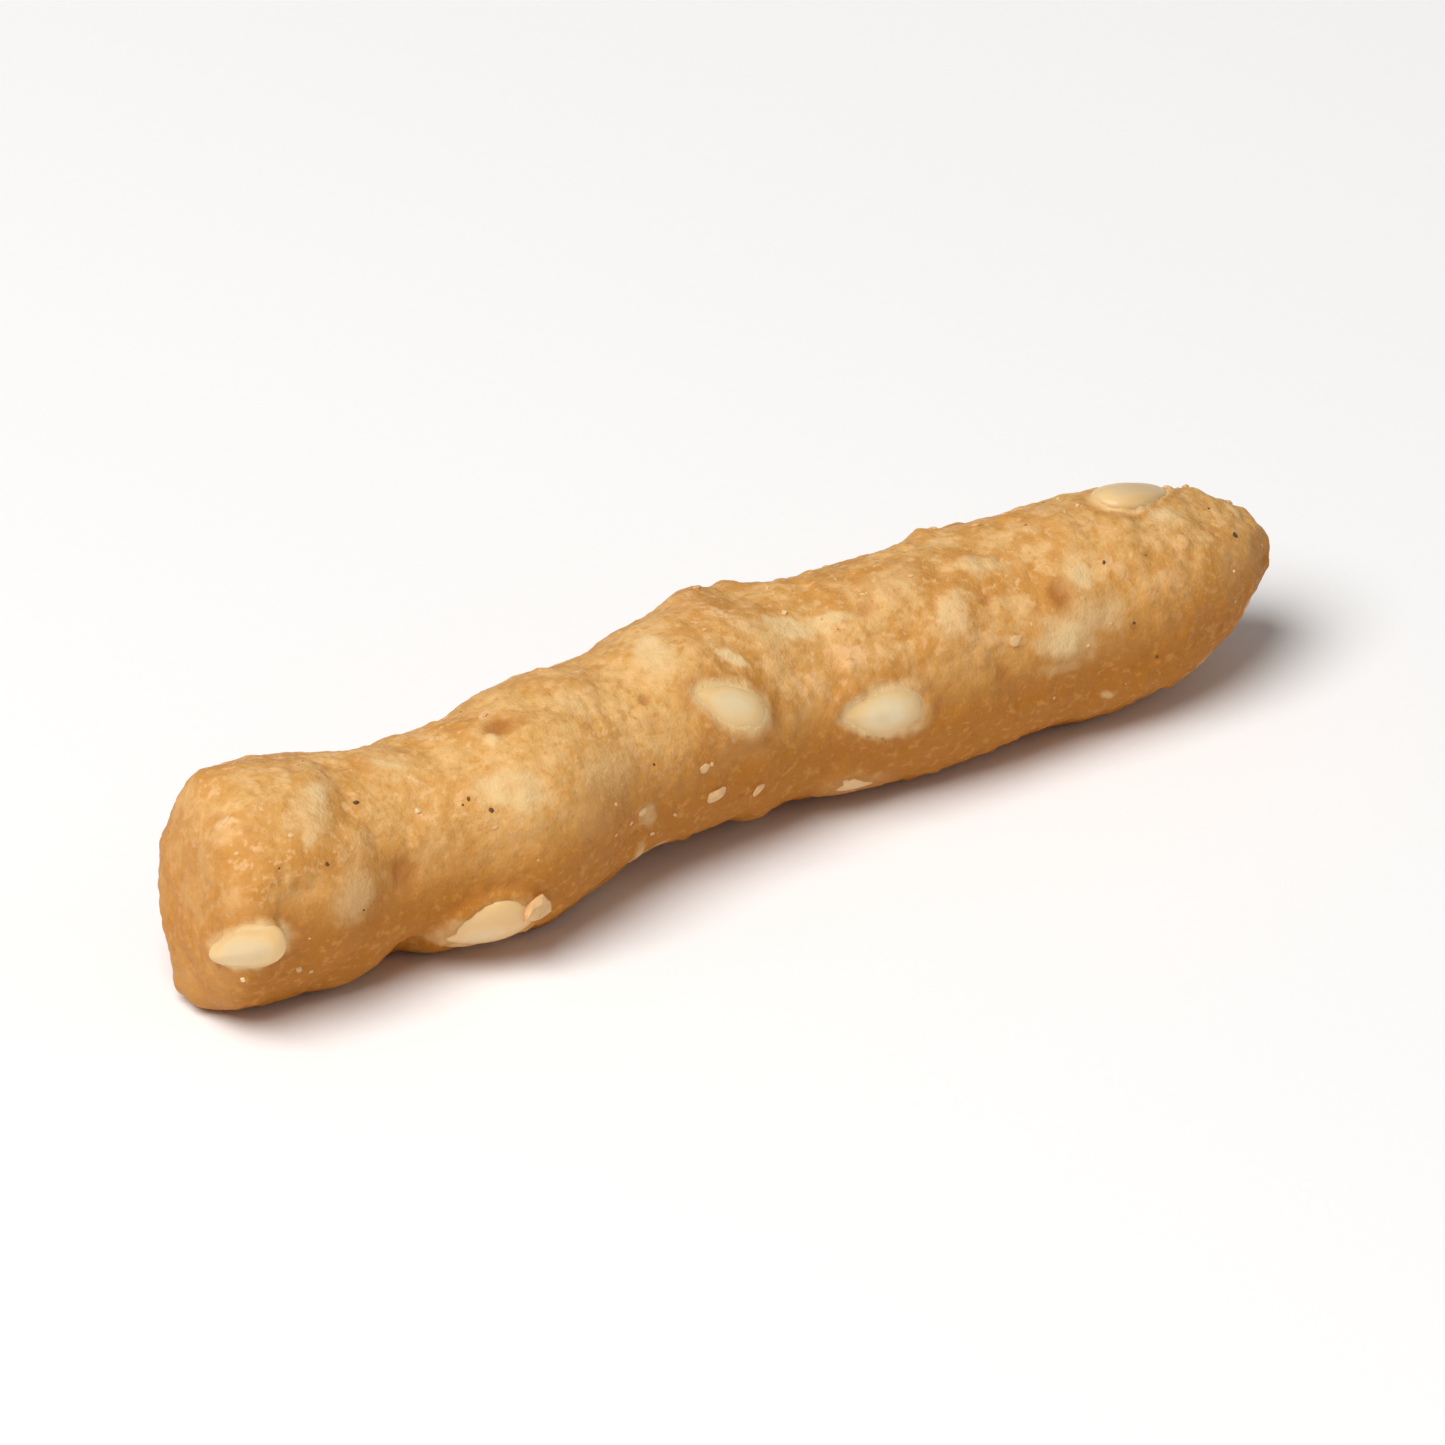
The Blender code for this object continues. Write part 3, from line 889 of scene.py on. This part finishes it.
def layered_material(name, constants, masks, noises, base, coats, gloss=None, grain=None):
    """A material of thin coats of colour over a base, with constants on the shader's own sockets.
    Masks are the mesh's own, and a noise is a wavelength in mm, a detail and a roughness. A coat
    is the mask or noise that it follows, four limits and a colour: while what it follows goes
    from the first limit to the second, its share goes from the third to the fourth. Gloss gives
    roughness in the same way. Grain is the noise, strength and height in mm of the bump."""
    material = bpy.data.materials.new(name)
    material.use_nodes = True
    tree = material.node_tree
    shader = tree.nodes["Principled BSDF"]
    for socket, value in constants.items():
        shader.inputs[socket].default_value = value
    place = add_node(tree, "ShaderNodeTexCoord").outputs["Object"]
    source = {}
    for mask in masks:
        made = add_node(tree, "ShaderNodeAttribute", {"attribute_name": mask})
        source[mask] = made.outputs["Fac"]
    for pattern, (wave, detail, roughness) in noises.items():
        settings = {"Scale": 1 / (wave * MM), "Detail": detail, "Roughness": roughness}
        made = add_node(tree, "ShaderNodeTexNoise", settings, {"Vector": place})
        source[pattern] = made.outputs["Fac"]
    under = None
    for pattern, limits, colour in coats:
        settings = dict(zip(RANGE_SOCKETS, limits))
        share = add_node(tree, "ShaderNodeMapRange", settings, {"Value": source[pattern]})
        settings = {"data_type": "RGBA", MIX_UNDER: opaque(base), MIX_OVER: opaque(colour)}
        links = {"Factor": share.outputs["Result"]}
        if under:
            links[MIX_UNDER] = under
        under = add_node(tree, "ShaderNodeMix", settings, links).outputs[MIX_RESULT]
    tree.links.new(under, shader.inputs["Base Color"])
    if gloss:
        pattern, limits = gloss
        settings = dict(zip(RANGE_SOCKETS, limits))
        made = add_node(tree, "ShaderNodeMapRange", settings, {"Value": source[pattern]})
        tree.links.new(made.outputs["Result"], shader.inputs["Roughness"])
    if grain:
        pattern, strength, height = grain
        settings = {"Strength": strength, "Distance": height * MM}
        made = add_node(tree, "ShaderNodeBump", settings, {"Height": source[pattern]})
        tree.links.new(made.outputs["Normal"], shader.inputs["Normal"])
    return material


def fried_dough_material(colours):
    """Fried wheat dough: a thin crisp skin with a trace of oil. The eye sees a satin golden crust
    with dry tan on its high spots, deeper ochre between, and seeds that glow through the skin."""
    return layered_material(
        "fried_wheat_dough",
        {
            "Metallic": 0.0,
            "IOR": 1.46,
            "Specular IOR Level": 0.15,
            "Subsurface Weight": 0.04,
            "Subsurface Radius": (1.0, 0.45, 0.15),
            "Subsurface Scale": 0.8 * MM,
        },
        masks=("peach", "flank_shade", "toasted", "oily_and_seed_shade", "wrinkled", "cream", "pitted"),
        noises={
            "broad": (4.2, 3.0, 0.55),
            "middle": (1.1, 3.0, 0.6),
            "fine": (0.30, 2.0, 0.6),
            "finest": (0.22, 4.0, 0.65),
        },
        base=colours.ochre,
        coats=(
            ("broad", (0.36, 0.60, 0, 1), colours.golden),
            ("middle", (0.46, 0.64, 0, 0.85), colours.tan),
            ("peach", (0, 1, 0, 1), colours.peach),
            ("fine", (0.55, 0.67, 0, 0.72), colours.peach),
            # painted shade low on the sides and round the tapered tip
            ("flank_shade", (0, 1, 0, 0.95), colours.flank_shade),
            ("fine", (0.33, 0.46, 0.70, 0), colours.ochre),
            ("toasted", (0, 1, 0, 0.36), colours.browned),
            # browned oily patches, and painted shade round the bare seeds
            ("oily_and_seed_shade", (0, 1, 0, 0.8), colours.browned),
            ("wrinkled", (0.2, 1, 0, 0.4), colours.tan),
            ("cream", (0, 1, 0, 1), colours.cream),
            ("pitted", (0, 1, 0, 0.7), colours.pit),
        ),
        gloss=("middle", (0.3, 0.7, 0.42, 0.62)),
        grain=("finest", 1.0, 0.065),
    )


def hulled_seed_material(colours, film, crust):
    """Hulled sesame seed: smooth, fatty and slightly clear. The eye sees warm ivory with a soft
    gleam, a darker pointed end, and no two seeds quite alike."""
    return layered_material(
        "hulled_sesame_seed",
        {
            "Metallic": 0.0,
            "IOR": 1.47,
            "Subsurface Weight": 0.35,
            "Subsurface Radius": (1.0, 0.75, 0.45),
            "Subsurface Scale": 0.6 * MM,
            "Coat Weight": 0.2,
            "Coat Roughness": 0.28,
        },
        masks=("tint", "tip", "film"),
        noises={"cloudy": (0.8, 2.0, 0.5), "finest": (0.16, 3.0, 0.5)},
        base=colours.ivory,
        coats=(
            ("tint", (0, 1, 0, 1), colours.honey),
            ("cloudy", (0.45, 0.75, 0, 0.5), colours.honey),
            ("tip", (0.5, 1, 0, 0.7), colours.tip),
            ("film", (0, 0.7, 0, 1), film),
            ("film", (0.6, 1, 0, 0.55), crust),
        ),
        gloss=("cloudy", (0.3, 0.7, 0.32, 0.46)),
        grain=("finest", 0.35, 0.02),
    )


def speckled_material(name, colour, dark, roughness, wave, clear=0.0):
    """A dry fleck, crumb or grain: one colour that darkens a little in cloudy spots, which lie
    a wavelength in mm apart."""
    return layered_material(
        name,
        {
            "Metallic": 0.0,
            "IOR": 1.5,
            "Roughness": roughness,
            "Subsurface Weight": clear,
            "Subsurface Radius": (1.0, 0.7, 0.4),
            "Subsurface Scale": 0.3 * MM,
        },
        masks=(),
        noises={"cloudy": (wave, 2.0, 0.5)},
        base=colour,
        coats=(("cloudy", (0.4, 0.7, 0, 1), [c * dark for c in colour]),),
    )


def dress(piece, name, material, replaced=False):
    """Names a finished piece, gives it its material and fixes it to the stick's body."""
    piece.name = name
    piece.data.name = name
    piece.data.materials.clear()
    piece.data.materials.append(material)
    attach(piece, BODY)
    if replaced:
        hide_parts(NODE)


def join(pieces):
    select_only(*pieces)
    bpy.ops.object.join()
    return bpy.context.object


def model_seed(sizes, draw):
    """One seed: a ball flattened to a drop, with a slight keel and faint furrows."""
    bpy.ops.object.select_all(action="DESELECT")
    bpy.ops.mesh.primitive_uv_sphere_add(segments=SEED_SIDES, ring_count=SEED_RINGS, radius=1)
    seed = bpy.context.object
    w, v, u = read_points(seed.data).T
    origin = np.array([draw.uniform(0, 90) for _ in range(3)])
    dents = SEED_DENTS * noise_at(np.stack((u * 1.4, v * 1.2, w), -1), 0.8, origin)
    furrows = SEED_FURROWS * noise_at(np.stack((u * 0.6, v * 4.5, w * 2), -1), 1.0, origin)
    swell = 1 + dents + furrows
    keel = 1 + SEED_KEEL * np.exp(-((v / 0.25) ** 2))
    points = np.stack(
        (
            u * sizes.length / 2,
            v * sizes.width / 2 * (1 - SEED_TAPER * u) * swell,
            w * sizes.thickness / 2 * (1 - SEED_THINNING * u) * swell * keel,
        ),
        -1,
    )
    write_points(seed.data, points)
    write_mask(seed.data, "tip", u)
    write_mask(seed.data, "tint", np.full(len(u), draw.random()))
    seed.data.shade_smooth()
    return seed


def crust_tree():
    """The finished crust, for things that are laid on it."""
    mesh = bpy.data.objects["fried_dough"].data
    mesh.calc_loop_triangles()
    triangles = [tuple(t.vertices) for t in mesh.loop_triangles]
    return BVHTree.FromPolygons([v.co.copy() for v in mesh.vertices], triangles)


def lay(tree, along, angle, turn):
    """A frame on the finished crust: X turned from the stick's line, Z outwards."""
    point, normal, line = rope_frame(along, angle)
    above = point - Vector(BOX_MIDDLE) + normal * 2 * MM
    hit, face, _, _ = tree.ray_cast(above, -normal)
    side = face.cross(line).normalized()
    axes = Matrix((side.cross(face), side, face)).transposed().to_4x4()
    return Matrix.Translation(hit) @ axes @ Matrix.Rotation(turn, 4, "Z")


def clustered(count, draw):
    """Places along and round the stick, close together in some parts and sparse in others."""
    places = []
    while len(places) < count:
        along = draw.uniform(*GRAIN_STRETCH) * ROPE_LENGTH
        angle = math.radians(draw.uniform(*CLEAR_OF_FLOOR))
        spot = Vector(rope_point(along, angle)) / GRAIN_CLUSTERS
        if noise.noise(spot) > draw.uniform(-0.5, 0.4):
            places.append((along, angle))
    return places


def pushed_about(points, low, high, draw):
    """Points each moved in or out along every axis, by a share between low and high."""
    return points * np.array([[draw.uniform(low, high) for _ in range(3)] for _ in points])


def rough_grain(size, flat, draw, divided=1):
    """A small angular grain about as long as size, flattened, with its corners pushed about."""
    bpy.ops.object.select_all(action="DESELECT")
    bpy.ops.mesh.primitive_ico_sphere_add(subdivisions=divided, radius=size / 2)
    grain = bpy.context.object
    points = pushed_about(read_points(grain.data), 0.72, 1.18, draw)
    write_points(grain.data, points * np.array((1.0, draw.uniform(0.55, 0.9), flat)))
    return grain


class SESAME_OT_fry_dough(bpy.types.Operator):
    """Model the dough rope with its crags, blisters, pits and wrinkled skin"""

    bl_idname = "sesame.fry_dough"
    bl_label = "Fried dough"

    def execute(self, context):
        dough, sizes = context.scene.sesame_dough, context.scene.sesame_seeds
        piece = model_dough(dough, sizes)
        dress(piece, "fried_dough", fried_dough_material(dough), True)
        return {"FINISHED"}


class SESAME_OT_press_seeds(bpy.types.Operator):
    """Model the bare seeds where the crust opens over them"""

    bl_idname = "sesame.press_seeds"
    bl_label = "Bare sesame seeds"

    def execute(self, context):
        sizes = context.scene.sesame_seeds
        draw = random.Random(DRAW + 4)
        pieces = []
        bare, _ = all_seeds()
        for place, shows in bare:
            seed = model_seed(sizes, draw)
            seed.data.transform(place)
            points = read_points(seed.data)
            share, _, _ = seed_place(points, place, sizes)
            past_edge = share - shows - wander(points, TORN_EDGE) + wander(points, TORN_FILM)
            write_mask(seed.data, "film", ramp(past_edge, -0.5, 0))
            write_points(seed.data, points - BOX_MIDDLE)
            pieces.append(seed)
        dough = context.scene.sesame_dough
        material = hulled_seed_material(sizes, dough.cream, dough.tan)
        dress(join(pieces), "sesame_seeds", material, True)
        return {"FINISHED"}


class SESAME_OT_scatter_crumbs(bpy.types.Operator):
    """Scatter pale dough crumbs that stuck to the crust in the fryer"""

    bl_idname = "sesame.scatter_crumbs"
    bl_label = "Pale crumbs"

    # Distance along, angle round, size in mm, and thickness as a share of it
    shown = (
        (17.0, 188, 0.85, 0.32),
        (18.7, 197, 0.60, 0.30),
        (16.6, 168, 0.46, 0.28),
        (14.2, 175, 0.42, 0.30),
        (9.9, 196, 1.10, 0.60),
        (2.6, 202, 0.24, 0.50),
        (3.0, 206, 0.18, 0.50),
        (0.8, 107, 0.34, 0.25),
        (27.9, 152, 0.46, 0.28),
        (8.6, 85, 0.26, 0.35),
        (10.4, 83, 0.34, 0.35),
        (7.4, 94, 0.22, 0.35),
        (19.3, 90, 0.30, 0.30),
        (35.7, 66, 0.36, 0.55),
        (36.2, 67, 0.28, 0.60),
        (37.4, 74, 0.30, 0.50),
        (28.1, 56, 0.34, 0.45),
        (29.1, 72, 0.30, 0.40),
        (19.6, 60, 0.34, 0.45),
    )

    def execute(self, context):
        choice = context.scene.sesame_sprinkles
        draw = random.Random(DRAW + 5)
        tree = crust_tree()
        pieces = []
        for along, angle, size, flat in self.shown:
            grain = rough_grain(size * MM, flat, draw, 2)
            turn = draw.uniform(-0.3, 0.3)
            grain.data.transform(lay(tree, along * MM, math.radians(angle), turn))
            pieces.append(grain)
        for along, angle in clustered(choice.crumb_count, draw):
            grain = rough_grain(choice.crumb_size * draw.uniform(0.3, 1.0), 0.45, draw)
            grain.data.transform(lay(tree, along, angle, draw.uniform(0, math.pi)))
            pieces.append(grain)
        # dried dough crumbs: dull and pale, a little browner in their hollows
        material = speckled_material("fried_dough_crumb", choice.crumb, 0.84, 0.6, 0.3, 0.03)
        dress(join(pieces), "pale_crumbs", material)
        return {"FINISHED"}


class SESAME_OT_scatter_salt(bpy.types.Operator):
    """Scatter fine salt grains over the crust"""

    bl_idname = "sesame.scatter_salt"
    bl_label = "Salt grains"

    def execute(self, context):
        choice = context.scene.sesame_sprinkles
        draw = random.Random(DRAW + 6)
        tree = crust_tree()
        pieces = []
        for along, angle in clustered(choice.salt_count, draw):
            bpy.ops.object.select_all(action="DESELECT")
            bpy.ops.mesh.primitive_cube_add(size=choice.salt_size * draw.uniform(0.5, 1.1))
            grain = bpy.context.object
            write_points(grain.data, pushed_about(read_points(grain.data), 0.7, 1.15, draw))
            bevel = grain.modifiers.new("worn edges", "BEVEL")
            bevel.width = 0.02 * MM
            bpy.ops.object.modifier_apply(modifier=bevel.name)
            tilt = Matrix.Rotation(draw.uniform(-0.6, 0.6), 4, "X")
            grain.data.transform(lay(tree, along, angle, draw.uniform(0, math.pi)) @ tilt)
            pieces.append(grain)
        # fine salt with a film of oil: small, a little clear and glossy, and tinted by the crust
        material = speckled_material("fine_table_salt", choice.salt, 0.9, 0.25, 0.2, 0.1)
        dress(join(pieces), "salt_grains", material)
        return {"FINISHED"}


class SESAME_OT_scatter_bran(bpy.types.Operator):
    """Press dark bran flecks into the crust"""

    bl_idname = "sesame.scatter_bran"
    bl_label = "Bran flecks"

    # Distance along, angle round and size in mm
    shown = (
        (5.1, 119, 0.24),
        (3.3, 147, 0.22),
        (8.4, 130, 0.18),
        (8.9, 138, 0.22),
        (31.6, 130, 0.17),
        (36.5, 130, 0.26),
        (32.0, 163, 0.15),
    )

    def execute(self, context):
        choice = context.scene.sesame_sprinkles
        draw = random.Random(DRAW + 7)
        tree = crust_tree()
        places = [(a * MM, math.radians(t), s * MM) for a, t, s in self.shown]
        for along, angle in clustered(choice.bran_count, draw):
            places.append((along, angle, choice.bran_size * draw.uniform(0.35, 1.0)))
        pieces = []
        for along, angle, size in places:
            fleck = rough_grain(size, 0.28, draw)
            fleck.data.transform(lay(tree, along, angle, draw.uniform(0, math.pi)))
            pieces.append(fleck)
        # wheat bran: dry dark husk without gloss
        material = speckled_material("wheat_bran", choice.bran, 0.6, 0.7, 0.15)
        dress(join(pieces), "bran_flecks", material)
        return {"FINISHED"}


class SESAME_OT_set_stage(bpy.types.Operator):
    """Lay the white sweep, hang the softboxes and point the camera"""

    bl_idname = "sesame.set_stage"
    bl_label = "Stage"

    def execute(self, context):
        choice = context.scene.sesame_stage
        self.sweep(choice)
        low, high = CAD_BOX
        middle = (low + high) / 2
        self.softbox("key_softbox", middle, KEY_PLACE, KEY_SIZE, choice.key_power)
        self.softbox("fill_softbox", middle, FILL_PLACE, FILL_SIZE, choice.fill_power)
        world = bpy.data.worlds.new("white_surroundings")
        world.use_nodes = True
        back = world.node_tree.nodes["Background"]
        back.inputs["Color"].default_value = opaque(WARM_WHITE)
        back.inputs["Strength"].default_value = choice.sky
        context.scene.world = world
        context.scene.view_settings.view_transform = "Standard"
        self.camera(context, choice, middle)
        return {"FINISHED"}

    def sweep(self, choice):
        bpy.ops.object.select_all(action="DESELECT")
        bpy.ops.mesh.primitive_plane_add(size=SWEEP_SIZE)
        floor = bpy.context.object
        floor.name = "paper_sweep"
        floor.data.transform(Matrix.Translation((0, 0, -SWEEP_DEPTH)))
        # matt paper: an even white without gloss
        material = speckled_material("matt_paper", choice.sweep, 0.995, 0.9, 0.4)
        floor.data.materials.append(material)

    def softbox(self, name, target, place, size, power):
        light = bpy.data.lights.new(name, "AREA")
        light.shape = "DISK"
        light.size = size
        light.energy = power
        made = bpy.data.objects.new(name, light)
        bpy.context.scene.collection.objects.link(made)
        made.location = target + Vector(place)
        made.rotation_euler = Vector(place).to_track_quat("Z", "Y").to_euler()

    def camera(self, context, choice, middle):
        turn, rise = math.radians(choice.azimuth), math.radians(choice.elevation)
        back = Vector(
            (math.sin(turn) * math.cos(rise), -math.cos(turn) * math.cos(rise), math.sin(rise))
        )
        lens = bpy.data.cameras.new("camera")
        lens.sensor_width = SENSOR
        lens.lens = LENS
        lens.clip_start, lens.clip_end = 0.01, 10.0
        away = choice.view_width * LENS / SENSOR
        made = bpy.data.objects.new("camera", lens)
        context.scene.collection.objects.link(made)
        made.location = middle + back * away
        made.rotation_euler = back.to_track_quat("Z", "Y").to_euler()
        context.scene.camera = made


PIECE_OPERATORS = (
    SESAME_OT_fry_dough,
    SESAME_OT_press_seeds,
    SESAME_OT_scatter_crumbs,
    SESAME_OT_scatter_salt,
    SESAME_OT_scatter_bran,
    SESAME_OT_set_stage,
)


class VIEW3D_PT_sesame_stick(bpy.types.Panel):
    """Lists the pieces of the sesame stick and their settings"""

    bl_label = "Sesame stick"
    bl_space_type = "VIEW_3D"
    bl_region_type = "UI"
    bl_category = "Sesame stick"

    def draw(self, context):
        for kind in PIECE_OPERATORS:
            self.layout.operator(kind.bl_idname)
        for group in SETTINGS:
            settings = getattr(context.scene, group)
            box = self.layout.box()
            for name in settings.bl_rna.properties.keys():
                if name not in ("rna_type", "name"):
                    box.prop(settings, name)


SETTINGS = {
    "sesame_dough": DoughSettings,
    "sesame_seeds": SeedSettings,
    "sesame_sprinkles": SprinkleSettings,
    "sesame_stage": StageSettings,
}
CLASSES = (*SETTINGS.values(), *PIECE_OPERATORS, VIEW3D_PT_sesame_stick)


def register():
    for kind in CLASSES:
        bpy.utils.register_class(kind)
    for name, kind in SETTINGS.items():
        setattr(bpy.types.Scene, name, PointerProperty(type=kind))


def unregister():
    for name in SETTINGS:
        delattr(bpy.types.Scene, name)
    for kind in reversed(CLASSES):
        bpy.utils.unregister_class(kind)


def main():
    register()
    bpy.ops.sesame.fry_dough()
    bpy.ops.sesame.press_seeds()
    bpy.ops.sesame.scatter_crumbs()
    bpy.ops.sesame.scatter_salt()
    bpy.ops.sesame.scatter_bran()
    bpy.ops.sesame.set_stage()


if __name__ == "__main__":
    main()
